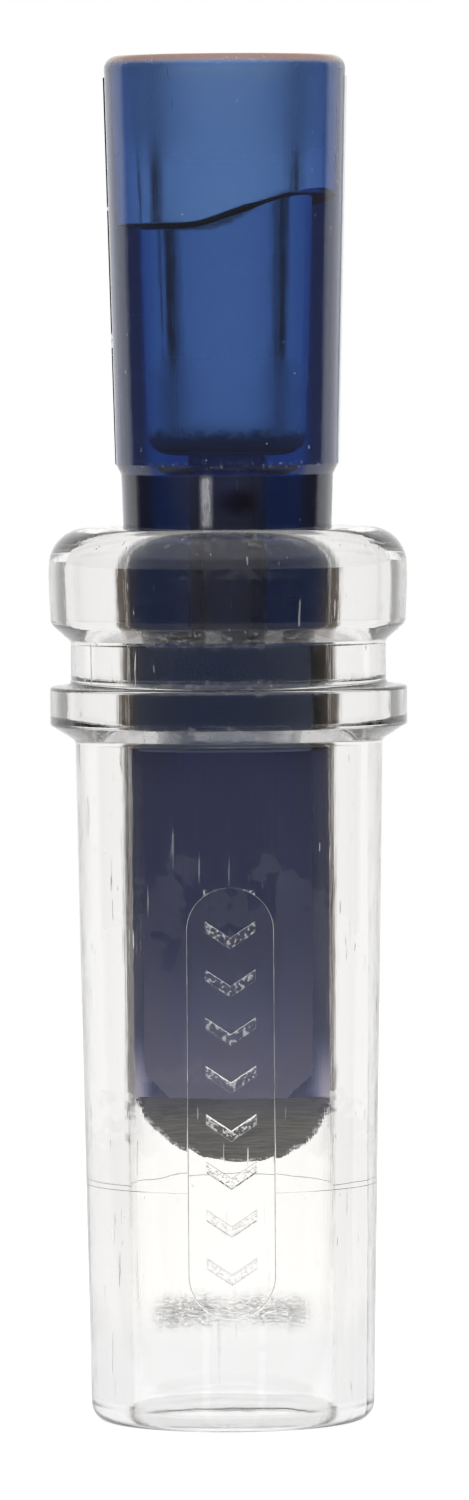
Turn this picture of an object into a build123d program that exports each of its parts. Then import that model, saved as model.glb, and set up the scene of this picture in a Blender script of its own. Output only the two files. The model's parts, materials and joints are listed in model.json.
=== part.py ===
from build123d import *
import math
import os

# Duck call, standing on its mouth end: millimetres, +Z up along the bore.
# The origin is the centre of the mouth face. -Y is the front, where the raised panel is.

# ---- Driving dimensions ----

# Barrel, outside
BARREL_LENGTH = 80.6
MOUTH_RADIUS = 12.75
BODY_TOP_RADIUS = 13.85
BODY_TOP_Z = 61.5
LIP_HEIGHT = 1.7
LIP_REACH = 1.5
BAND_RADIUS = 16.0
BAND_CROWN_RADIUS = 16.17
BAND_BOTTOM_Z = 72.0
BAND_CORNER_RADIUS = 3.4
BAND_BOTTOM_FILLET = 1.0
GROOVE_RADIUS = 14.2
GROOVE_TOP_Z = 70.4
GROOVE_BOTTOM_Z = 66.5
RING_RADIUS = 16.1
RING_TOP_Z = 66.3
RING_BOTTOM_Z = 62.9
GROOVE_FILLET = 0.5
RING_EDGE_FILLET = 0.3
WITNESS_Z = 21.5
WITNESS_DEPTH = 0.045

# Barrel, bore
BORE_RADIUS = 9.14
BORE_TOP_RADIUS = 9.47
SOCKET_START_Z = 71.0
MOUTH_FLARE = 0.9
MOUTH_FLARE_HEIGHT = 1.26

# Raised chevrons in a shallow stadium-shaped recess that follows the round of the barrel
PANEL_BOTTOM_Z = 10.3
PANEL_TOP_Z = 48.8
PANEL_HALF_WIDTH = 3.83
PANEL_DEPTH = 0.45
CHEVRON_COUNT = 8
CHEVRON_PITCH = 4.3
CHEVRON_HALF_WIDTH = 2.25
CHEVRON_DROP = 1.5
CHEVRON_STROKE = 1.0
CHEVRON_HEIGHT = 0.4
CHEVRON_ROOT = 0.2
CHEVRON_EDGE_FILLET = 0.15
PANEL_RIM_FILLET = 0.1

# Insert, outside
INSERT_TOP_Z = 123.0
INSERT_TOP_RADIUS = 10.9
INSERT_EDGE_FILLET = 1.2
SHOULDER_Z = 86.3
SHOULDER_RADIUS = 10.0
NECK_Z = 85.4
NECK_RADIUS = 9.55
TENON_TOP_RADIUS = 9.39
TENON_STRAIGHT_Z = 71.0
BOARD_RADIUS = 9.03
TENON_BOTTOM_Z = 61.0
INSERT_TURN = -6.0

# Insert, air way
COUNTERBORE_TOP_RADIUS = 6.5
COUNTERBORE_RADIUS = 6.15
STEP_LOW_Z = 107.7
STEP_RISE = 3.4
STEP_BEND_X = -1.5
STEP_BEND_RADIUS = 9.0
EXHAUST_TOP_RADIUS = 5.0
EXHAUST_RADIUS = 4.45
EXHAUST_END_Z = 87.2
EXHAUST_END_FILLET = 1.6
TUNNEL_RADIUS = 2.2
TUNNEL_OFFSET = -0.2
CHANNEL_RADIUS = 3.9
CHANNEL_SINK = 1.0
CHANNEL_END_Z = 33.3

# Tone board: its face lies in front of the axis, a ramp falls away from the reed,
# and the tip is cut to a bevel
FACE_Y = -2.7
RAMP_TOP_Z = 60.6
TIP_Z = 29.4
TIP_DROP = 1.5
BEVEL_BOTTOM_Z = 22.8

# Parting line left by the mould on the exhaust end
FLASH_WIDTH = 0.25
FLASH_HEIGHT = 0.12
FLASH_TOP_MARGIN = 1.9

# Pocket in the tenon, with the reed and the wedge block in it
POCKET_HALF_WIDTH = 7.3
POCKET_HEIGHT = 4.2
POCKET_CORNER = 3.6
POCKET_TOP_Z = 71.2
WEDGE_GAP = 0.05
WEDGE_OVERHANG = 0.3
WEDGE_TAIL_GAP = 0.5
WEDGE_EDGE_FILLET = 0.35

REED_THICKNESS = 0.35
REED_HALF_WIDTH = 7.2
REED_TAIL_GAP = 0.2
REED_HINGE_Z = TENON_BOTTOM_Z - 0.4
REED_TIP_Z = 29.45
REED_TIP_CLIP = 2.2
REED_HINGE_GAP = 0.04


# ---- Helpers ----

def revolved(points):
    """Solid of revolution about Z of a closed outline of (radius, z) points."""
    face = make_face(Polyline([(r, 0, z) for r, z in points], close=True))
    return revolve(face, axis=Axis.Z)


def circles_near(solid, radius, z, tolerance=0.02):
    """Circular edges of a turned solid at one radius and height."""
    return [
        edge
        for edge in solid.edges().filter_by(GeomType.CIRCLE)
        if abs(edge.radius - radius) < tolerance and abs(edge.center().Z - z) < tolerance
    ]


def tube_of_air(radius_low, radius_high, z_low, z_high, y=0.0):
    """Round hole about a vertical axis, straight or tapered."""
    if radius_low == radius_high:
        return Pos(0, y, (z_low + z_high) / 2) * Cylinder(radius_low, z_high - z_low)
    return Pos(0, y, (z_low + z_high) / 2) * Cone(radius_low, radius_high, z_high - z_low)


def plate(x_half, y_low, y_high, z_low, z_high):
    """Rectangular block, centred on X."""
    return Pos(0, (y_low + y_high) / 2, (z_low + z_high) / 2) * Box(
        2 * x_half, y_high - y_low, z_high - z_low
    )


# ---- Barrel ----

def body_radius(z):
    """Outside radius of the tapered body."""
    return MOUTH_RADIUS + (BODY_TOP_RADIUS - MOUTH_RADIUS) * z / BODY_TOP_Z


def barrel_outside():
    body = revolved([
        (0, 0),
        (MOUTH_RADIUS, 0),
        (BODY_TOP_RADIUS, BODY_TOP_Z),
        (RING_RADIUS, RING_BOTTOM_Z),
        (RING_RADIUS, RING_TOP_Z),
        (GROOVE_RADIUS, GROOVE_BOTTOM_Z),
        (GROOVE_RADIUS, GROOVE_TOP_Z),
        (BAND_RADIUS, BAND_BOTTOM_Z),
        (BAND_CROWN_RADIUS, (BAND_BOTTOM_Z + BARREL_LENGTH) / 2),
        (BAND_RADIUS, BARREL_LENGTH),
        (0, BARREL_LENGTH),
    ])
    body = fillet(circles_near(body, BAND_RADIUS, BARREL_LENGTH), BAND_CORNER_RADIUS)
    body = fillet(circles_near(body, BAND_RADIUS, BAND_BOTTOM_Z), BAND_BOTTOM_FILLET)
    grooves = circles_near(body, GROOVE_RADIUS, GROOVE_BOTTOM_Z)
    grooves += circles_near(body, GROOVE_RADIUS, GROOVE_TOP_Z)
    grooves += circles_near(body, BODY_TOP_RADIUS, BODY_TOP_Z)
    body = fillet(grooves, GROOVE_FILLET)
    ring_edges = circles_near(body, RING_RADIUS, RING_TOP_Z)
    ring_edges += circles_near(body, RING_RADIUS, RING_BOTTOM_Z)
    body = fillet(ring_edges, RING_EDGE_FILLET)
    return body - lip_cutter()


def lip_cutter():
    """Ring of waste that leaves the mouth's outer edge as a quarter ellipse."""
    lip_radius = MOUTH_RADIUS - LIP_REACH
    far = MOUTH_RADIUS + 2
    side = body_radius(LIP_HEIGHT)
    lip = EllipticalCenterArc(
        (lip_radius, LIP_HEIGHT), side - lip_radius, LIP_HEIGHT, start_angle=-90, arc_size=90
    )
    rest = Polyline((side, LIP_HEIGHT), (far, LIP_HEIGHT), (far, -1), (lip_radius, -1), (lip_radius, 0))
    return revolve(Plane.XZ * make_face([lip, rest]), axis=Axis.Z)


def barrel_bore():
    """Straight bore with a tapered socket at the top and a flare at the mouth."""
    return revolved([
        (0, -1),
        (BORE_RADIUS + MOUTH_FLARE, -1),
        (BORE_RADIUS + MOUTH_FLARE, 0),
        (BORE_RADIUS, MOUTH_FLARE_HEIGHT),
        (BORE_RADIUS, SOCKET_START_Z),
        (BORE_TOP_RADIUS, BARREL_LENGTH),
        (BORE_TOP_RADIUS, BARREL_LENGTH + 1),
        (0, BARREL_LENGTH + 1),
    ])


def witness_groove():
    """Fine ring line round the body."""
    radius = body_radius(WITNESS_Z)
    return revolved([
        (radius - WITNESS_DEPTH, WITNESS_Z),
        (radius + WITNESS_DEPTH, WITNESS_Z - WITNESS_DEPTH),
        (radius + WITNESS_DEPTH, WITNESS_Z + WITNESS_DEPTH),
    ])


def body_core(inset):
    """The tapered body beside the window, smaller all round by inset."""
    low = PANEL_BOTTOM_Z - 2
    high = PANEL_TOP_Z + 2
    return tube_of_air(body_radius(low) - inset, body_radius(high) - inset, low, high)


def front_prism(sketch):
    """Sketch in X and Z about the middle of the window, pushed out through the front wall."""
    middle = (PANEL_BOTTOM_Z + PANEL_TOP_Z) / 2
    plane = Plane(origin=(0, 0, middle), x_dir=(1, 0, 0), z_dir=(0, -1, 0))
    return extrude(plane * sketch, BODY_TOP_RADIUS + 2)


def window_waste():
    """Waste from the recess, down to a floor that is concentric with the body."""
    outline = Rot(0, 0, 90) * SlotOverall(PANEL_TOP_Z - PANEL_BOTTOM_Z, 2 * PANEL_HALF_WIDTH)
    return front_prism(outline) - body_core(PANEL_DEPTH)


def front_edges(solid, inset):
    """Edges in front, at the window, that lie at one depth below the body's round outside."""
    found = []
    for edge in solid.edges():
        middle = edge.center()
        depth = body_radius(middle.Z) - math.hypot(middle.X, middle.Y)
        if middle.Y < -BORE_RADIUS and abs(middle.X) < PANEL_HALF_WIDTH + 0.1 and abs(depth - inset) < 0.02:
            found.append(edge)
    return found


def chevron(height):
    """Outline of one chevron, with its point at this height."""
    half = CHEVRON_HALF_WIDTH
    stroke = CHEVRON_STROKE
    return Polygon(
        (-half, height + CHEVRON_DROP),
        (0, height),
        (half, height + CHEVRON_DROP),
        (half, height + CHEVRON_DROP + stroke),
        (0, height + stroke),
        (-half, height + CHEVRON_DROP + stroke),
        align=None,
    )


def raised_chevron(height):
    """One chevron with softened outer edges, rooted just below the recess's floor."""
    outer = PANEL_DEPTH - CHEVRON_HEIGHT
    block = front_prism(chevron(height)) & body_core(outer)
    block = block - body_core(PANEL_DEPTH + CHEVRON_ROOT)
    return fillet(front_edges(block, outer), CHEVRON_EDGE_FILLET)


def barrel_part():
    """Clear barrel with the recess and its chevrons."""
    solid = barrel_outside() - window_waste()
    solid = fillet(front_edges(solid, 0), PANEL_RIM_FILLET)
    solid = solid - barrel_bore() - witness_groove()
    stack = (CHEVRON_COUNT - 1) * CHEVRON_PITCH + CHEVRON_DROP + CHEVRON_STROKE
    for index in range(CHEVRON_COUNT):
        solid += raised_chevron(index * CHEVRON_PITCH - stack / 2)
    return solid


# ---- Insert ----

def insert_outside():
    """Exhaust end, neck, tenon and the blank for the tone board."""
    body = revolved([
        (0, BEVEL_BOTTOM_Z - 1),
        (BOARD_RADIUS, BEVEL_BOTTOM_Z - 1),
        (BOARD_RADIUS, TENON_STRAIGHT_Z),
        (TENON_TOP_RADIUS, BARREL_LENGTH),
        (NECK_RADIUS, NECK_Z),
        (SHOULDER_RADIUS, SHOULDER_Z),
        (INSERT_TOP_RADIUS, INSERT_TOP_Z),
        (0, INSERT_TOP_Z),
    ])
    return fillet(circles_near(body, INSERT_TOP_RADIUS, INSERT_TOP_Z), INSERT_EDGE_FILLET)


def board_waste():
    """Everything in front of the tone board's face, with the ramp and the bevelled tip."""
    far = BOARD_RADIUS + 1
    tip_y = FACE_Y + TIP_DROP
    bevel_slope = (TIP_Z - BEVEL_BOTTOM_Z) / (BOARD_RADIUS - tip_y)
    overshoot = far + 1
    outline = Polyline(
        [
            (0, -far, TENON_BOTTOM_Z),
            (0, FACE_Y, TENON_BOTTOM_Z),
            (0, FACE_Y, RAMP_TOP_Z),
            (0, tip_y, TIP_Z),
            (0, overshoot, TIP_Z - bevel_slope * (overshoot - tip_y)),
            (0, overshoot, BEVEL_BOTTOM_Z - 3),
            (0, -far, BEVEL_BOTTOM_Z - 3),
        ],
        close=True,
    )
    return extrude(make_face(outline), far, both=True)


def counterbore():
    """Wide outer bore, whose floor is level on one side and climbs on the other."""
    hole = tube_of_air(
        COUNTERBORE_RADIUS, COUNTERBORE_TOP_RADIUS, STEP_LOW_Z, INSERT_TOP_Z + 0.01
    )
    reach = COUNTERBORE_TOP_RADIUS + 0.5
    slope = STEP_RISE / (COUNTERBORE_RADIUS - STEP_BEND_X)
    floor = Plane.XZ * Polygon(
        (-reach, STEP_LOW_Z),
        (STEP_BEND_X, STEP_LOW_Z),
        (reach, STEP_LOW_Z + slope * (reach - STEP_BEND_X)),
        (reach, INSERT_TOP_Z + 1),
        (-reach, INSERT_TOP_Z + 1),
        align=None,
    )
    bend = floor.vertices().sort_by_distance((STEP_BEND_X, 0, STEP_LOW_Z))[0]
    return hole & extrude(fillet(bend, STEP_BEND_RADIUS), reach, both=True)


def exhaust_bore():
    """Tapered bore below the counterbore, with a rounded bottom corner."""
    bore = tube_of_air(EXHAUST_RADIUS, EXHAUST_TOP_RADIUS, EXHAUST_END_Z, STEP_LOW_Z + STEP_RISE + 2)
    return fillet(circles_near(bore, EXHAUST_RADIUS, EXHAUST_END_Z), EXHAUST_END_FILLET)


def tone_channel():
    """Round-bottomed trough under the reed, open at the board's face."""
    top = POCKET_TOP_Z
    low = CHANNEL_END_Z + CHANNEL_RADIUS
    centre = FACE_Y + CHANNEL_SINK
    round_part = tube_of_air(CHANNEL_RADIUS, CHANNEL_RADIUS, low, top, centre)
    end = Pos(0, centre, low) * Sphere(CHANNEL_RADIUS)
    mouth = plate(CHANNEL_RADIUS, FACE_Y - 0.5, centre, low, top)
    inside = plate(CHANNEL_RADIUS + 1, FACE_Y, centre + CHANNEL_RADIUS + 1, CHANNEL_END_Z, top)
    return (round_part + end + mouth) & inside


def pocket_profile(half_width, height, corner, base):
    """Arched cross-section on the reed side of the board's face, in the XY plane."""
    middle = FACE_Y - (base + height) / 2
    sketch = Pos(0, middle) * Rectangle(2 * half_width, height - base)
    return fillet(sketch.vertices().sort_by(Axis.Y)[:2], corner)


def pocket():
    """Room for the reed's tail and the wedge, open at the tenon's lower end."""
    profile = pocket_profile(POCKET_HALF_WIDTH, POCKET_HEIGHT, POCKET_CORNER, 0)
    return Pos(0, 0, TENON_BOTTOM_Z - 1) * extrude(profile, POCKET_TOP_Z - TENON_BOTTOM_Z + 1)


def flash_lines():
    """Two fine ridges where the halves of the mould met."""
    low = SHOULDER_Z
    high = INSERT_TOP_Z - FLASH_TOP_MARGIN
    ridges = []
    for side in (-1, 1):
        outer_low = SHOULDER_RADIUS + FLASH_HEIGHT
        outer_high = INSERT_TOP_RADIUS + FLASH_HEIGHT
        outline = Polyline(
            [
                (side * (SHOULDER_RADIUS - 1), 0, low),
                (side * outer_low, 0, low),
                (side * outer_high, 0, high),
                (side * (SHOULDER_RADIUS - 1), 0, high),
            ],
            close=True,
        )
        ridges.append(extrude(make_face(outline), FLASH_WIDTH / 2, both=True))
    return ridges


def insert_part():
    """Blue insert: the solid outside less its airway, board waste and pocket."""
    solid = insert_outside()
    for ridge in flash_lines():
        solid += ridge
    solid -= board_waste()
    solid -= counterbore()
    solid -= exhaust_bore()
    solid -= tube_of_air(TUNNEL_RADIUS, TUNNEL_RADIUS, POCKET_TOP_Z - 3, EXHAUST_END_Z + 1, TUNNEL_OFFSET)
    solid -= tone_channel()
    solid -= pocket()
    return solid


# ---- Wedge and reed ----

def wedge_part():
    """Block that holds the reed's tail down on the board."""
    profile = pocket_profile(
        POCKET_HALF_WIDTH - WEDGE_GAP, POCKET_HEIGHT - WEDGE_GAP, POCKET_CORNER, REED_THICKNESS
    )
    low = TENON_BOTTOM_Z - WEDGE_OVERHANG
    high = POCKET_TOP_Z - WEDGE_TAIL_GAP
    block = Pos(0, 0, low) * extrude(profile, high - low)
    return fillet(block.faces().sort_by(Axis.Z)[0].edges(), WEDGE_EDGE_FILLET)


def reed_tail_part():
    """Part of the reed's strip that the wedge holds."""
    low = REED_HINGE_Z + REED_HINGE_GAP / 2
    return plate(REED_HALF_WIDTH, FACE_Y - REED_THICKNESS, FACE_Y, low, POCKET_TOP_Z - REED_TAIL_GAP)


def reed_tongue_part():
    """Free part of the reed's strip, with clipped corners at its tip."""
    top = REED_HINGE_Z - REED_HINGE_GAP / 2
    blank = plate(REED_HALF_WIDTH, FACE_Y - REED_THICKNESS, FACE_Y, REED_TIP_Z, top)
    corners = [
        edge
        for edge in blank.edges().filter_by(Axis.Y)
        if abs(edge.center().Z - REED_TIP_Z) < 0.01
    ]
    return chamfer(corners, REED_TIP_CLIP)


# ---- Write one STEP file per node ----

def main():
    os.makedirs("parts", exist_ok=True)
    turn = Rot(0, 0, INSERT_TURN)
    nodes = {
        "barrel": barrel_part(),
        "insert": turn * insert_part(),
        "wedge": turn * wedge_part(),
        "reed_tail": turn * reed_tail_part(),
        "reed_tongue": turn * reed_tongue_part(),
    }
    for name, shape in nodes.items():
        export_step(shape, f"parts/{name}.step")


main()
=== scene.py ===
import json
import math

import bmesh
import bpy
from mathutils import Matrix, Vector


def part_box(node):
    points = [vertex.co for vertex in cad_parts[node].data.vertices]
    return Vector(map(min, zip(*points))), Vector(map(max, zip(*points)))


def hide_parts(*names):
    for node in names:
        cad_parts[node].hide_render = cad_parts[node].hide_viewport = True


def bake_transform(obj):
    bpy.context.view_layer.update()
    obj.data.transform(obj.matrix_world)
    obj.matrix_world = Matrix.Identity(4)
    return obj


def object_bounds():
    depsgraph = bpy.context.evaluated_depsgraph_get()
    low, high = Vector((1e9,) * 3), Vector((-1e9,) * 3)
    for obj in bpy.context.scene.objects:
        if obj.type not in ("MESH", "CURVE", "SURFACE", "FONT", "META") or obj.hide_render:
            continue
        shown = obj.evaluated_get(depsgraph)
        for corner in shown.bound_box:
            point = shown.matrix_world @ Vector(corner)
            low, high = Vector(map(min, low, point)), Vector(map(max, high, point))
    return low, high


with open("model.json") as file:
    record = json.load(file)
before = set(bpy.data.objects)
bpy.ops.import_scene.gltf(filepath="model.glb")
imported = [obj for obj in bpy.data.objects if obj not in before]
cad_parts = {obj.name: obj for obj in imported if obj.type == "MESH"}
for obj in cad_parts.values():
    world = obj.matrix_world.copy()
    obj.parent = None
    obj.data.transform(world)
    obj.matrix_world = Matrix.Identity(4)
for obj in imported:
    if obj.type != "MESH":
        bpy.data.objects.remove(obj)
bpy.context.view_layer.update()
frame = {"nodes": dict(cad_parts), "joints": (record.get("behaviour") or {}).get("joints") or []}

MM = 0.001

# ---- Places, all worked out from the frame ----

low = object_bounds()[0]
tongue_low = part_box("reed_tongue")[0]
flex = next(joint for joint in frame["joints"] if joint["name"] == "reed_flex")
ACROSS_REED = Vector(flex["axis"]).normalized()
HINGE = Vector(flex["pos_m"])
OFF_BOARD = ACROSS_REED.cross(Vector((0, 0, 1)))
INSERT_TURN = math.atan2(ACROSS_REED.y, ACROSS_REED.x)
BARREL_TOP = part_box("barrel")[1].z / MM
INSERT_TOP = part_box("insert")[1].z / MM


# ---- Node helpers: lengths inside the materials are millimetres ----

def node(tree, kind, place=(0, 0), **settings):
    made = tree.nodes.new(kind)
    made.location = place
    for name, value in settings.items():
        setattr(made, name, value)
    return made


def feed(tree, socket, value):
    """Sets a socket to a number or colour, or links it to another node's output."""
    if isinstance(value, bpy.types.NodeSocket):
        tree.links.new(value, socket)
    else:
        socket.default_value = value


def maths(tree, operation, first, second=0.0, third=0.0, clamp=False):
    made = node(tree, "ShaderNodeMath", operation=operation, use_clamp=clamp)
    for socket, value in zip(made.inputs, (first, second, third)):
        feed(tree, socket, value)
    return made.outputs[0]


def between(tree, value, start, end, low_value=0.0, high_value=1.0):
    """Smooth step of value from start to end."""
    made = node(tree, "ShaderNodeMapRange", interpolation_type="SMOOTHSTEP")
    for socket, number in zip(made.inputs, (value, start, end, low_value, high_value)):
        feed(tree, socket, number)
    return made.outputs[0]


def near(tree, value, centre, half, soft):
    """One within half of the centre, falling to nothing over soft."""
    off = maths(tree, "ABSOLUTE", maths(tree, "SUBTRACT", value, centre))
    return between(tree, off, half, half + soft, 1.0, 0.0)


def both(tree, *masks):
    result = masks[0]
    for mask in masks[1:]:
        result = maths(tree, "MULTIPLY", result, mask)
    return result


def either(tree, *masks):
    result = masks[0]
    for mask in masks[1:]:
        result = maths(tree, "MAXIMUM", result, mask)
    return result


def mixed(tree, factor, first, second):
    made = node(tree, "ShaderNodeMix", data_type="RGBA")
    feed(tree, made.inputs["Factor"], factor)
    feed(tree, made.inputs["A"], first)
    feed(tree, made.inputs["B"], second)
    return made.outputs["Result"]


def blended(tree, factor, first, second):
    """Number between first and second."""
    made = node(tree, "ShaderNodeMix", data_type="FLOAT")
    feed(tree, made.inputs["Factor"], factor)
    feed(tree, made.inputs["A"], first)
    feed(tree, made.inputs["B"], second)
    return made.outputs["Result"]


def own_place(tree, scale=(1, 1, 1), turn=0.0):
    """Object coordinates in millimetres, turned back about Z and stretched along the axes."""
    place = node(tree, "ShaderNodeTexCoord").outputs["Object"]
    turned = node(tree, "ShaderNodeMapping")
    tree.links.new(place, turned.inputs["Vector"])
    turned.inputs["Rotation"].default_value = (0, 0, -turn)
    turned.inputs["Scale"].default_value = (1 / MM, 1 / MM, 1 / MM)
    stretched = node(tree, "ShaderNodeMapping")
    tree.links.new(turned.outputs[0], stretched.inputs["Vector"])
    stretched.inputs["Scale"].default_value = scale
    return stretched.outputs[0]


def noise(tree, scale, detail=3.0, roughness=0.5, stretch=(1, 1, 1), turn=0.0, distortion=0.0):
    """Noise with scale features to the millimetre."""
    made = node(tree, "ShaderNodeTexNoise")
    tree.links.new(own_place(tree, stretch, turn), made.inputs["Vector"])
    made.inputs["Scale"].default_value = scale
    made.inputs["Detail"].default_value = detail
    made.inputs["Roughness"].default_value = roughness
    made.inputs["Distortion"].default_value = distortion
    return made.outputs["Fac"]


def coordinates(tree, turn=0.0):
    """The point's x, y and z."""
    split = node(tree, "ShaderNodeSeparateXYZ")
    tree.links.new(own_place(tree, turn=turn), split.inputs[0])
    return split.outputs


def added(tree, value, mask, amount):
    return maths(tree, "ADD", value, maths(tree, "MULTIPLY", mask, amount))


def taken(tree, value, mask, amount):
    return maths(tree, "SUBTRACT", value, maths(tree, "MULTIPLY", mask, amount))


def distance_from_axis(tree, x, y):
    squares = maths(tree, "ADD", maths(tree, "MULTIPLY", x, x), maths(tree, "MULTIPLY", y, y))
    return maths(tree, "SQRT", squares)


def bump(tree, height, distance, below=None):
    made = node(tree, "ShaderNodeBump")
    made.inputs["Strength"].default_value = 1.0
    made.inputs["Distance"].default_value = distance * MM
    tree.links.new(height, made.inputs["Height"])
    if below is not None:
        tree.links.new(below, made.inputs["Normal"])
    return made.outputs[0]


def new_material(name):
    material = bpy.data.materials.new(name)
    material.use_nodes = True
    tree = material.node_tree
    tree.nodes.clear()
    output = node(tree, "ShaderNodeOutputMaterial", (900, 0))
    shader = node(tree, "ShaderNodeBsdfPrincipled", (600, 0))
    tree.links.new(shader.outputs[0], output.inputs["Surface"])
    return material, tree, shader, output


# ---- Camera and light ----

CAMERA_DISTANCE = 0.927
CAMERA_HEIGHT = 0.101
CAMERA_LENS = 247.0
CAMERA_ROLL = math.radians(-0.37)
AIM = Vector((0.0005, 0.0, 0.0605))
WHITE = (1, 1, 1, 1)
BACKDROP_EDGE = math.radians(58)
BACKDROP_FADE = math.radians(68)
FRONT_EDGE = math.radians(80)
FRONT_FADE = math.radians(100)
ROOM_COLOUR = (0.09, 0.07, 0.055, 1)
FRONT_COLOUR = (0.06, 0.06, 0.065, 1)
OVERHEAD_START = 0.35
OVERHEAD_FULL = 0.6
OVERHEAD_COLOUR = (0.6, 0.6, 0.6, 1)
THROUGH_EDGE = math.radians(30)
THROUGH_FADE = math.radians(43)
THROUGH_END = math.radians(80)
THROUGH_END_FADE = math.radians(65)
THROUGH_COLOUR = (0.33, 0.33, 0.33, 1)
LIGHT_PLACE = (0.1, -0.35, 0.75)
LIGHT_SIZE = (1.2, 1.0)
LIGHT_POWER = 4.0
LIGHT_TARGET = (0, 0, 0.06)
FLOOR_RADIUS = 0.55
FLOOR_STEPS = 96
FLOOR_GLOW = 0.92
FLOOR_GLOW_IN_GLOSS = 0.1
FLOOR_GLOW_BEHIND = 0.72
FLOOR_GLOW_START = 38.0
LIGHT_BOUNCES = 16


def make_camera():
    data = bpy.data.cameras.new("camera")
    data.sensor_width = 36.0
    data.lens = CAMERA_LENS
    data.clip_start = 0.01
    data.clip_end = 20.0
    camera = bpy.data.objects.new("camera", data)
    bpy.context.scene.collection.objects.link(camera)
    place = Vector((AIM.x, -CAMERA_DISTANCE, CAMERA_HEIGHT))
    turn = (AIM - place).to_track_quat("-Z", "Y").to_matrix().to_4x4()
    camera.matrix_world = Matrix.Translation(place) @ turn @ Matrix.Rotation(CAMERA_ROLL, 4, "Z")
    bpy.context.scene.camera = camera


def make_world():
    """White backdrop. Gloss also picks up a dark studio at the sides and in front.

    Seen straight through the plastic, the backdrop is darker in a band to each side.
    """
    world = bpy.data.worlds.new("studio")
    bpy.context.scene.world = world
    world.use_nodes = True
    tree = world.node_tree
    tree.nodes.clear()
    direction = node(tree, "ShaderNodeTexCoord").outputs["Generated"]
    split = node(tree, "ShaderNodeSeparateXYZ")
    tree.links.new(direction, split.inputs[0])
    x, y, z = split.outputs
    azimuth = maths(tree, "ABSOLUTE", maths(tree, "ARCTAN2", x, y))
    beside = between(tree, azimuth, BACKDROP_EDGE, BACKDROP_FADE)
    in_front = between(tree, azimuth, FRONT_EDGE, FRONT_FADE)
    room = mixed(tree, in_front, ROOM_COLOUR, FRONT_COLOUR)
    around = mixed(tree, beside, WHITE, room)
    overhead = between(tree, z, OVERHEAD_START, OVERHEAD_FULL)
    studio = mixed(tree, overhead, around, OVERHEAD_COLOUR)
    aside = both(
        tree,
        between(tree, azimuth, THROUGH_EDGE, THROUGH_FADE),
        between(tree, azimuth, THROUGH_END, THROUGH_END_FADE),
    )
    seen_through = mixed(tree, aside, WHITE, THROUGH_COLOUR)
    path = node(tree, "ShaderNodeLightPath")
    straight = maths(tree, "LESS_THAN", path.outputs["Glossy Depth"], 0.5)
    through = maths(tree, "GREATER_THAN", path.outputs["Transmission Depth"], 0.5)
    colour = mixed(tree, both(tree, straight, through), studio, seen_through)
    colour = mixed(tree, path.outputs["Is Camera Ray"], colour, WHITE)
    background = node(tree, "ShaderNodeBackground")
    tree.links.new(colour, background.inputs["Color"])
    output = node(tree, "ShaderNodeOutputWorld")
    tree.links.new(background.outputs[0], output.inputs["Surface"])


def area_light(name, place, size, power, target):
    data = bpy.data.lights.new(name, "AREA")
    data.shape = "RECTANGLE"
    data.size, data.size_y = size
    data.energy = power
    light = bpy.data.objects.new(name, data)
    bpy.context.scene.collection.objects.link(light)
    light.visible_glossy = False
    light.location = place
    light.rotation_mode = "QUATERNION"
    light.rotation_quaternion = (Vector(target) - Vector(place)).to_track_quat("-Z", "Y")


def make_floor():
    """Pale floor: in gloss it glows mainly behind the object, like the backdrop."""
    mesh = bpy.data.meshes.new("floor")
    rim = []
    for step in range(FLOOR_STEPS):
        angle = 2 * math.pi * step / FLOOR_STEPS
        rim.append((FLOOR_RADIUS * math.cos(angle), FLOOR_RADIUS * math.sin(angle), low.z))
    mesh.from_pydata(rim, [], [list(range(FLOOR_STEPS))])
    floor = bpy.data.objects.new("floor", mesh)
    bpy.context.scene.collection.objects.link(floor)
    material, tree, shader, _ = new_material("pale_floor")
    shader.inputs["Base Color"].default_value = (0.3, 0.3, 0.3, 1)
    shader.inputs["Roughness"].default_value = 0.9
    shader.inputs["Specular IOR Level"].default_value = 0.0
    shader.inputs["Emission Color"].default_value = WHITE
    path = node(tree, "ShaderNodeLightPath")
    mirrored = maths(tree, "GREATER_THAN", path.outputs["Glossy Depth"], 0.5)
    x, y, _ = coordinates(tree)
    behind = maths(tree, "ADD", y, FLOOR_GLOW_START)
    azimuth = maths(tree, "ABSOLUTE", maths(tree, "ARCTAN2", x, behind))
    beside = between(tree, azimuth, BACKDROP_EDGE, BACKDROP_FADE)
    glow_in_gloss = blended(tree, beside, FLOOR_GLOW_BEHIND, FLOOR_GLOW_IN_GLOSS)
    glow = blended(tree, mirrored, FLOOR_GLOW, glow_in_gloss)
    tree.links.new(glow, shader.inputs["Emission Strength"])
    mesh.materials.append(material)


# ---- Barrel: clear plastic, handled and a little scuffed ----

PLASTIC_IOR = 1.585
BORE_SIDE = 10.2
RIM_BAND_BOTTOM = 70.8
RING_TOP = 66.6
RING_BOTTOM = 62.4
CLOUDY_BAND_Z = 9.0
CHEVRON_HALF_WIDTH = 2.35
PANEL_LOW = 10.5
PANEL_HIGH = 48.6
PANEL_DEPTH = 0.45
MOUTH_RADIUS = 12.75
BODY_TOP_RADIUS = 13.85
BODY_HEIGHT = 61.5
BODY_TAPER = (BODY_TOP_RADIUS - MOUTH_RADIUS) / BODY_HEIGHT
# Places across and up the barrel of two painted highlight streaks on the front near the mouth
LEFT_HIGHLIGHT_X = -2.4
RIGHT_HIGHLIGHT_X = 2.6
HIGHLIGHT_Z = 6.2
HIGHLIGHT_HALF_HEIGHT = 4.4
LIP_TOP = 2.0
BARREL_ABSORPTION = (0.5, 0.47, 0.43, 1)
BARREL_DENSITY = 8.0


def scratches(tree, stretch, scale, amount):
    """Fine broken lines: one on a scratch, nothing between."""
    lines = noise(tree, scale, 2.0, 0.55, stretch, distortion=0.15)
    return between(tree, lines, amount, amount + 0.05)


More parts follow.
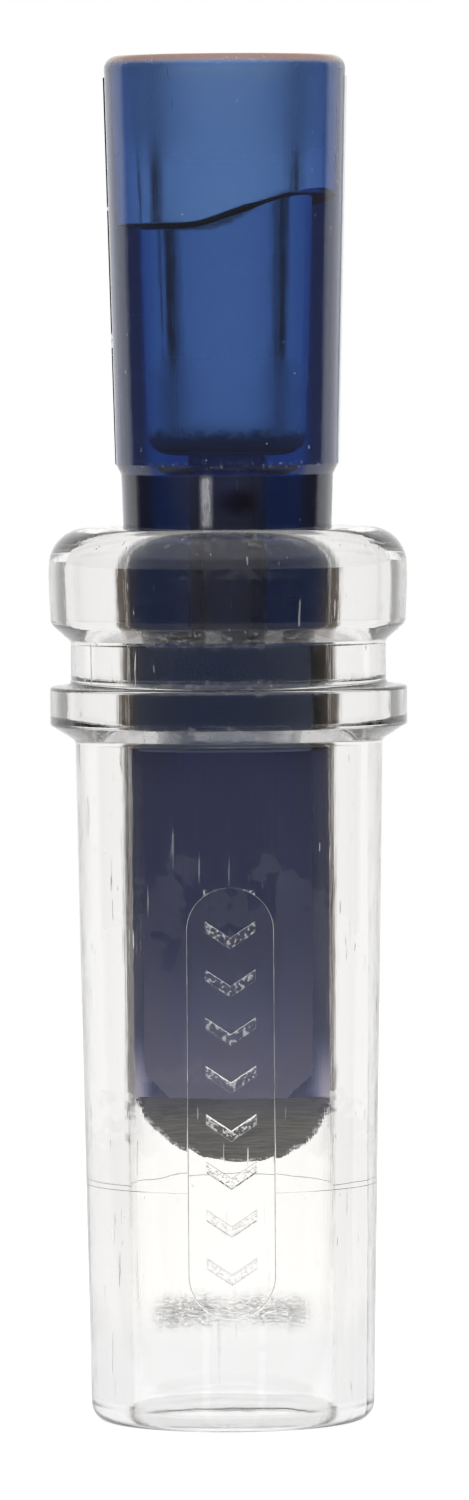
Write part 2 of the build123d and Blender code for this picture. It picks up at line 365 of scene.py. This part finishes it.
def barrel_material():
    material, tree, shader, output = new_material("clear_polycarbonate")
    x, y, z = coordinates(tree)
    radius = distance_from_axis(tree, x, y)
    front = between(tree, y, -9.0, -10.0)
    bore = between(tree, radius, BORE_SIDE - 0.15, BORE_SIDE, 1.0, 0.0)
    ridges = maths(tree, "SUBTRACT", 1.0, bore)

    cloud = between(tree, noise(tree, 2.4, 5.0, 0.75, (0.5, 0.5, 1.6), distortion=0.5), 0.42, 0.56)
    back = between(tree, y, 5.0, 7.5)
    sideways = maths(tree, "ABSOLUTE", x)
    patches = both(
        tree,
        between(tree, sideways, 1.0, 4.0, 0.7, 1.0),
        between(tree, sideways, 11.6, 7.4),
    )
    ragged = maths(tree, "MULTIPLY_ADD", noise(tree, 0.9, 4.0, 0.6), 1.6, z)
    cloudy = both(tree, near(tree, ragged, CLOUDY_BAND_Z + 0.9, 0.1, 2.3), back, ridges, patches)
    wobble = maths(tree, "MULTIPLY", maths(tree, "SUBTRACT", noise(tree, 1.1, 4.0), 0.5), 0.7)
    # Painted highlight: two wavy streaks on the front near the mouth, left untinted white so they
    # read brighter than the walls
    left_highlight = near(tree, maths(tree, "ADD", x, wobble), LEFT_HIGHLIGHT_X, 0.2, 0.25)
    right_highlight = near(tree, maths(tree, "SUBTRACT", x, wobble), RIGHT_HIGHLIGHT_X, 0.2, 0.25)
    broken = between(tree, noise(tree, 1.3, 3.0), 0.38, 0.5)
    right_highlight = both(tree, right_highlight, broken)
    highlight_streaks = both(
        tree,
        either(tree, left_highlight, right_highlight),
        front,
        near(tree, z, HIGHLIGHT_Z, HIGHLIGHT_HALF_HEIGHT, 0.9),
    )

    body_radius = maths(tree, "MULTIPLY_ADD", z, BODY_TAPER, MOUTH_RADIUS)
    depth = maths(tree, "SUBTRACT", body_radius, radius)
    on_mark = both(
        tree,
        between(tree, depth, PANEL_DEPTH - 0.16, PANEL_DEPTH - 0.06, 1.0, 0.0),
        near(tree, x, 0.0, CHEVRON_HALF_WIDTH, 0.05),
        near(tree, z, (PANEL_LOW + PANEL_HIGH) / 2, (PANEL_HIGH - PANEL_LOW) / 2, 0.1),
        front,
    )
    mark_speckle = both(tree, on_mark, between(tree, noise(tree, 3.2, 2.0), 0.5, 0.62))

    worn_edges = either(
        tree,
        near(tree, z, RING_TOP, 0.5, 0.4),
        near(tree, z, RING_BOTTOM, 0.5, 0.6),
        near(tree, z, RIM_BAND_BOTTOM, 0.4, 0.8),
        near(tree, z, BARREL_TOP - 0.6, 0.4, 1.2),
    )
    wear = both(tree, worn_edges, ridges, between(tree, noise(tree, 1.4, 5.0, 0.65), 0.48, 0.68))
    scuffs = both(tree, ridges, scratches(tree, (1.6, 1.6, 0.09), 1.0, 0.70))
    slants = both(tree, ridges, scratches(tree, (2.4, 2.4, 0.5), 0.8, 0.74))

    relief = bump(tree, noise(tree, 0.22, 2.0), 0.03)
    relief = bump(tree, noise(tree, 1.0, 3.0, 0.6, (2.2, 2.2, 0.03)), 0.007, below=relief)
    relief = bump(tree, both(tree, cloudy, cloud), 0.035, below=relief)
    relief = bump(tree, either(tree, scuffs, slants), -0.02, below=relief)
    relief = bump(tree, mark_speckle, 0.03, below=relief)
    tree.links.new(relief, shader.inputs["Normal"])

    haze = between(tree, noise(tree, 0.4, 4.0), 0.45, 0.75, 0.0, 0.05)
    lip = between(tree, z, LIP_TOP, LIP_TOP - 0.6)
    rough = added(tree, haze, wear, 0.25)
    rough = added(tree, rough, lip, 0.1)
    rough = added(tree, rough, either(tree, scuffs, mark_speckle), 0.35)
    tree.links.new(rough, shader.inputs["Roughness"])

    frosted = either(
        tree,
        maths(tree, "MULTIPLY", scuffs, 0.2),
        maths(tree, "MULTIPLY", mark_speckle, 0.4),
        maths(tree, "MULTIPLY", wear, 0.12),
        maths(tree, "MULTIPLY", cloudy, 0.05),
    )
    tree.links.new(maths(tree, "SUBTRACT", 1.0, frosted), shader.inputs["Transmission Weight"])
    tint = mixed(tree, noise(tree, 0.08, 1.0), (0.985, 0.975, 0.96, 1), (0.985, 0.985, 0.98, 1))
    # Darker towards the bottom, below 11 mm: a painted contrast that sets off the painted highlight
    # streaks; the lip is set back to white next
    tint = mixed(tree, between(tree, z, 11.0, 7.0), tint, (0.92, 0.92, 0.92, 1))
    tint = mixed(tree, lip, tint, WHITE)
    tint = mixed(tree, both(tree, cloudy, cloud), tint, (0.80, 0.80, 0.80, 1))
    # Painted highlight: the streaks are set to untinted white
    tint = mixed(tree, highlight_streaks, tint, WHITE)
    tree.links.new(tint, shader.inputs["Base Color"])
    shader.inputs["IOR"].default_value = PLASTIC_IOR

    absorption = node(tree, "ShaderNodeVolumeAbsorption", (600, -400))
    absorption.inputs["Color"].default_value = BARREL_ABSORPTION
    absorption.inputs["Density"].default_value = BARREL_DENSITY
    tree.links.new(absorption.outputs[0], output.inputs["Volume"])
    return material


# ---- Insert: blue plastic, turned and bored on a lathe ----

AIRWAY_SIDE = 7.0
STEP_Z = 107.7
STEP_BEND = -1.5
STEP_RISE = 3.4
STEP_END = 6.15
STEP_SLOPE = STEP_RISE / (STEP_END - STEP_BEND)
STEP_EASE = 0.9
SHOULDER_Z = 86.3
NECK_MIDDLE = (BARREL_TOP + 85.4) / 2
BEVEL_TOP = 29.4
BEVEL_SET_BACK = -1.2
BEVEL_BOTTOM = 22.8
BEVEL_BACK = 9.03
BEVEL_SLOPE = (BEVEL_TOP - BEVEL_BOTTOM) / (BEVEL_BACK - BEVEL_SET_BACK)
TENON_TOP = 85.6
TENON_BOTTOM = 71.2
TUNNEL_RADIUS = 3.7
BOARD_TOP = 61.0
RUB_X = -0.9
SPOT_X = 1.9
INSERT_ABSORPTION = (0.0, 0.296, 0.637, 1)
INSERT_DENSITY = 270.0


def insert_material():
    material, tree, shader, output = new_material("blue_polycarbonate")
    x, y, z = coordinates(tree, INSERT_TURN)
    radius = distance_from_axis(tree, x, y)
    bored = both(
        tree,
        between(tree, radius, AIRWAY_SIDE - 0.2, AIRWAY_SIDE, 1.0, 0.0),
        between(tree, z, 86.0, 86.6),
    )
    drilled = both(
        tree,
        between(tree, radius, TUNNEL_RADIUS, TUNNEL_RADIUS + 0.2, 1.0, 0.0),
        between(tree, z, 70.0, 71.0),
    )
    airway = either(tree, bored, drilled)
    fuzzy = maths(tree, "MULTIPLY_ADD", noise(tree, 1.2, 4.0, 0.6), 1.6, z)
    # Painted shade: a fuzzy dark band where the exhaust bore ends, also rougher and frosted
    shaded_bore_end = both(tree, bored, near(tree, fuzzy, 87.7, 1.7, 1.2))
    crisp = both(tree, bored, near(tree, z, 105.0, 7.0, 5.0))
    front = between(tree, y, -0.5, -2.0)

    # Painted shade: the step across the bore is painted near-black as the dark slanted line it
    # shows, and made rough and nearly opaque
    beyond = maths(tree, "SUBTRACT", x, STEP_BEND)
    eased = maths(tree, "SQRT", maths(tree, "MULTIPLY_ADD", beyond, beyond, STEP_EASE * STEP_EASE))
    climb = maths(tree, "MULTIPLY", maths(tree, "ADD", beyond, eased), STEP_SLOPE / 2)
    over_step = maths(tree, "SUBTRACT", maths(tree, "SUBTRACT", z, STEP_Z), climb)
    over_step = maths(tree, "MULTIPLY", over_step, between(tree, x, 2.0, 4.8, 1.0, 4.0))
    step = both(
        tree,
        near(tree, over_step, 0.0, 0.2, 0.18),
        between(tree, radius, 6.6, 6.8, 1.0, 0.0),
        between(tree, x, 5.6, 5.0),
    )
    # Painted shade: the tenon's outer surface is painted dark grey-brown, darker than the clear blue
    # above it
    shaded_tenon = both(
        tree,
        between(tree, z, TENON_TOP, TENON_TOP - 0.4),
        between(tree, z, TENON_BOTTOM, TENON_BOTTOM + 1.0),
        between(tree, radius, 8.9, 9.0),
    )
    board = between(tree, z, BOARD_TOP, BOARD_TOP - 0.4)
    board_side = between(tree, maths(tree, "ABSOLUTE", x), 4.0, 7.0)
    tip_corner = both(tree, between(tree, z, 36.0, 30.0), between(tree, radius, 6.8, 8.8))
    tenon_haze = both(tree, shaded_tenon, between(tree, y, -8.0, -9.3))

    behind_bevel = maths(tree, "MULTIPLY", maths(tree, "SUBTRACT", BEVEL_TOP, z), 1 / BEVEL_SLOPE)
    off_bevel = maths(tree, "SUBTRACT", maths(tree, "SUBTRACT", y, BEVEL_SET_BACK), behind_bevel)
    bevel = both(
        tree,
        near(tree, off_bevel, 0.0, 0.06, 0.05),
        between(tree, z, BEVEL_TOP + 0.1, BEVEL_TOP),
    )
    saw_marks = noise(tree, 1.0, 4.0, 0.7, (0.25, 4.0, 4.0), INSERT_TURN)

    tip_chips = both(
        tree,
        bevel,
        near(tree, radius, 9.0, 0.3, 0.3),
        between(tree, noise(tree, 1.6, 4.0), 0.5, 0.6),
    )
    sparkle = between(tree, noise(tree, 7.0, 2.0, 0.5, (1, 1, 0.12)), 0.35, 0.6, 0.72, 1.0)
    rub = both(
        tree,
        near(tree, x, RUB_X, 0.15, 0.65),
        front,
        near(tree, z, NECK_MIDDLE, 1.9, 0.7),
        sparkle,
    )
    spot_side = maths(tree, "MULTIPLY", maths(tree, "SUBTRACT", x, SPOT_X), 0.65)
    spot_reach = distance_from_axis(tree, spot_side, maths(tree, "SUBTRACT", z, NECK_MIDDLE))
    spot = both(tree, between(tree, spot_reach, 0.4, 1.8, 1.0, 0.0), front)

    # The mould flash ridge on the left, painted near-black and nearly opaque: painted shade standing
    # in for the dark line the ridge shows at the edge
    shaded_flash_line = both(
        tree,
        near(tree, y, -0.15, 0.25, 0.08),
        between(tree, x, 0.0, -1.0),
        between(tree, radius, 9.6, 9.7),
        between(tree, z, SHOULDER_Z - 0.1, SHOULDER_Z),
        between(tree, noise(tree, 0.5, 4.0, 0.6), 0.36, 0.42),
    )
    outside = between(tree, radius, 9.2, 9.4)
    # Painted reflection: an orange-brown line round the top rim, standing in for the brown room
    # reflected in the top fillet; also less clear
    rim = both(tree, between(tree, z, INSERT_TOP - 0.9, INSERT_TOP - 0.3), outside)
    edge_wear = both(
        tree,
        either(tree, near(tree, z, SHOULDER_Z, 0.1, 0.5), near(tree, z, INSERT_TOP - 0.3, 0.3, 0.9)),
        between(tree, noise(tree, 3.0, 5.0, 0.65), 0.54, 0.72),
        outside,
    )
    flecks = both(tree, outside, between(tree, noise(tree, 2.4, 2.0, 0.5, (1, 1, 0.7)), 0.76, 0.8))
    scuffs = both(tree, outside, scratches(tree, (1.6, 1.6, 0.1), 1.0, 0.71))

    relief = bump(tree, noise(tree, 0.25, 2.0), 0.03)
    relief = bump(tree, noise(tree, 1.0, 3.0, 0.6, (1.6, 1.6, 0.04)), 0.012, below=relief)
    turning = noise(tree, 1.0, 2.0, 0.5, (0.05, 0.05, 5.0))
    relief = bump(tree, both(tree, airway, turning), 0.012, below=relief)
    relief = bump(tree, both(tree, bevel, saw_marks), 0.12, below=relief)
    relief = bump(tree, either(tree, flecks, scuffs), -0.02, below=relief)
    tree.links.new(relief, shader.inputs["Normal"])

    haze = between(tree, noise(tree, 0.6, 4.0), 0.4, 0.8, 0.04, 0.13)
    rough = added(tree, haze, bored, 0.36)
    rough = taken(tree, rough, crisp, 0.26)
    rough = added(tree, rough, shaded_bore_end, 0.3)
    rough = added(tree, rough, drilled, 0.55)
    rough = added(tree, rough, either(tree, edge_wear, rub, flecks, scuffs), 0.3)
    rough = blended(tree, either(tree, bevel, step), rough, 0.55)
    tree.links.new(rough, shader.inputs["Roughness"])

    clear = taken(tree, 0.988, step, 0.9)
    for mask, amount in (
        (shaded_bore_end, 0.55),
        (rim, 0.5),
        (bevel, 0.6),
        (either(tree, rub, flecks), 0.55),
        (edge_wear, 0.25),
        (shaded_flash_line, 0.9),
    ):
        clear = taken(tree, clear, mask, amount)
    frosting = maths(tree, "MULTIPLY", board, between(tree, z, 55.0, 30.0, 0.08, 0.16))
    frosting = added(tree, frosting, both(tree, board, board_side), 0.08)
    frosting = added(tree, frosting, tip_corner, 0.58)
    frosting = added(tree, frosting, tenon_haze, 0.06)
    clear = maths(tree, "SUBTRACT", clear, frosting)
    clear = maths(tree, "MAXIMUM", clear, 0.02)
    tree.links.new(clear, shader.inputs["Transmission Weight"])

    colour = mixed(tree, noise(tree, 0.3, 3.0), (0.86, 0.92, 0.98, 1), WHITE)
    # Painted shade: the end of the bore is painted dark navy
    colour = mixed(tree, shaded_bore_end, colour, (0.10, 0.12, 0.20, 1))
    colour = mixed(tree, drilled, colour, (0.34, 0.38, 0.62, 1))
    board_colour = mixed(tree, board_side, (0.52, 0.52, 0.72, 1), (0.30, 0.38, 0.85, 1))
    colour = mixed(tree, board, colour, board_colour)
    colour = mixed(tree, tip_corner, colour, (0.85, 0.80, 1.0, 1))
    # Painted shade on the tenon
    colour = mixed(tree, shaded_tenon, colour, (0.30, 0.28, 0.26, 1))
    # Painted reflection on the top rim
    colour = mixed(tree, rim, colour, (0.75, 0.40, 0.25, 1))
    grooves = between(tree, saw_marks, 0.35, 0.65)
    sawn = mixed(tree, grooves, (0.07, 0.066, 0.064, 1), (0.20, 0.185, 0.165, 1))
    sawn = mixed(tree, between(tree, z, 26.5, BEVEL_TOP, 0.0, 0.85), sawn, (0.04, 0.045, 0.09, 1))
    colour = mixed(tree, bevel, colour, sawn)
    colour = mixed(tree, spot, colour, (0.10, 0.07, 0.08, 1))
    # Painted shade: near-black on the bore's step and on the mould flash line
    colour = mixed(tree, either(tree, step, shaded_flash_line), colour, (0.004, 0.006, 0.014, 1))
    colour = mixed(tree, either(tree, rub, tip_chips), colour, (0.85, 0.85, 0.88, 1))
    tree.links.new(colour, shader.inputs["Base Color"])
    shader.inputs["IOR"].default_value = PLASTIC_IOR

    absorption = node(tree, "ShaderNodeVolumeAbsorption", (600, -400))
    absorption.inputs["Color"].default_value = INSERT_ABSORPTION
    absorption.inputs["Density"].default_value = INSERT_DENSITY
    tree.links.new(absorption.outputs[0], output.inputs["Volume"])
    return material


# ---- Wedge and reed ----

FILM_IOR = 1.6


def wedge_material():
    material, tree, shader, _ = new_material("wedge_rubber")
    grain = noise(tree, 5.0, 4.0)
    colour = mixed(tree, grain, (0.20, 0.24, 0.42, 1), (0.28, 0.33, 0.55, 1))
    tree.links.new(colour, shader.inputs["Base Color"])
    shader.inputs["Transmission Weight"].default_value = 0.6
    tree.links.new(between(tree, grain, 0.3, 0.7, 0.6, 0.85), shader.inputs["Roughness"])
    tree.links.new(bump(tree, grain, 0.03), shader.inputs["Normal"])
    return material


def reed_material():
    material, tree, shader, _ = new_material("reed_film")
    brushed = noise(tree, 1.0, 4.0, 0.6, (4.0, 4.0, 0.15), INSERT_TURN)
    x, _, z = coordinates(tree, INSERT_TURN)
    side = between(tree, maths(tree, "ABSOLUTE", x), 2.5, 6.0)
    # Painted light: the reed grows lighter towards its tip, as if lit more from the mouth end; the
    # tip is also frostier
    tip = between(tree, z, 46.0, 30.0)
    colour = mixed(tree, brushed, (0.19, 0.18, 0.25, 1), (0.27, 0.26, 0.34, 1))
    colour = mixed(tree, side, colour, (0.11, 0.13, 0.36, 1))
    # Painted light: lighter colour at the tip
    colour = mixed(tree, tip, colour, (0.40, 0.40, 0.60, 1))
    tree.links.new(colour, shader.inputs["Base Color"])
    frosting = blended(tree, either(tree, side, tip), 0.08, 0.32)
    tree.links.new(maths(tree, "SUBTRACT", 1.0, frosting), shader.inputs["Transmission Weight"])
    shader.inputs["IOR"].default_value = FILM_IOR
    tree.links.new(between(tree, brushed, 0.3, 0.7, 0.3, 0.45), shader.inputs["Roughness"])
    tree.links.new(bump(tree, brushed, 0.01), shader.inputs["Normal"])
    return material


def dress(name, material):
    """Puts a material on a CAD node."""
    target = frame["nodes"][name]
    if not target.material_slots:
        target.data.materials.append(material)
    for slot in target.material_slots:
        slot.material = material


# ---- Reed: one strip of film over the two CAD solids ----

REED_HALF_WIDTH = 7.2 * MM
REED_THICKNESS = 0.35 * MM
REED_TIP_CLIP = 2.2 * MM
REED_ROWS = 60


def make_reed(material):
    """The film from its clamped tail to its clipped tip, a straight strip along the hinge."""
    tail_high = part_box("reed_tail")[1].z
    tip = tongue_low.z
    mesh = bpy.data.meshes.new("reed")
    shape = bmesh.new()
    rows = []
    for index in range(REED_ROWS + 1):
        z = tip + (tail_high - tip) * index / REED_ROWS
        half = REED_HALF_WIDTH - max(0.0, REED_TIP_CLIP - (z - tip))
        row = []
        for side, off in ((-1, 0), (1, 0), (1, 1), (-1, 1)):
            place = Vector((HINGE.x, HINGE.y, z)) + ACROSS_REED * side * half
            row.append(shape.verts.new(place + OFF_BOARD * REED_THICKNESS * (off - 0.5)))
        rows.append(row)
    for first, second in zip(rows, rows[1:]):
        for k in range(4):
            shape.faces.new((first[k], first[(k + 1) % 4], second[(k + 1) % 4], second[k]))
    shape.faces.new(rows[0])
    shape.faces.new(rows[-1])
    bmesh.ops.recalc_face_normals(shape, faces=shape.faces[:])
    shape.to_mesh(mesh)
    shape.free()
    mesh.materials.append(material)
    reed = bpy.data.objects.new("reed", mesh)
    bpy.context.scene.collection.objects.link(reed)
    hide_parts("reed_tail", "reed_tongue")
    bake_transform(reed)


make_camera()
make_world()
make_floor()
area_light("overhead", LIGHT_PLACE, LIGHT_SIZE, LIGHT_POWER, LIGHT_TARGET)
bpy.context.scene.view_settings.view_transform = "Standard"
bpy.context.scene.cycles.max_bounces = LIGHT_BOUNCES
bpy.context.scene.cycles.transmission_bounces = LIGHT_BOUNCES

dress("barrel", barrel_material())
dress("insert", insert_material())
dress("wedge", wedge_material())
make_reed(reed_material())
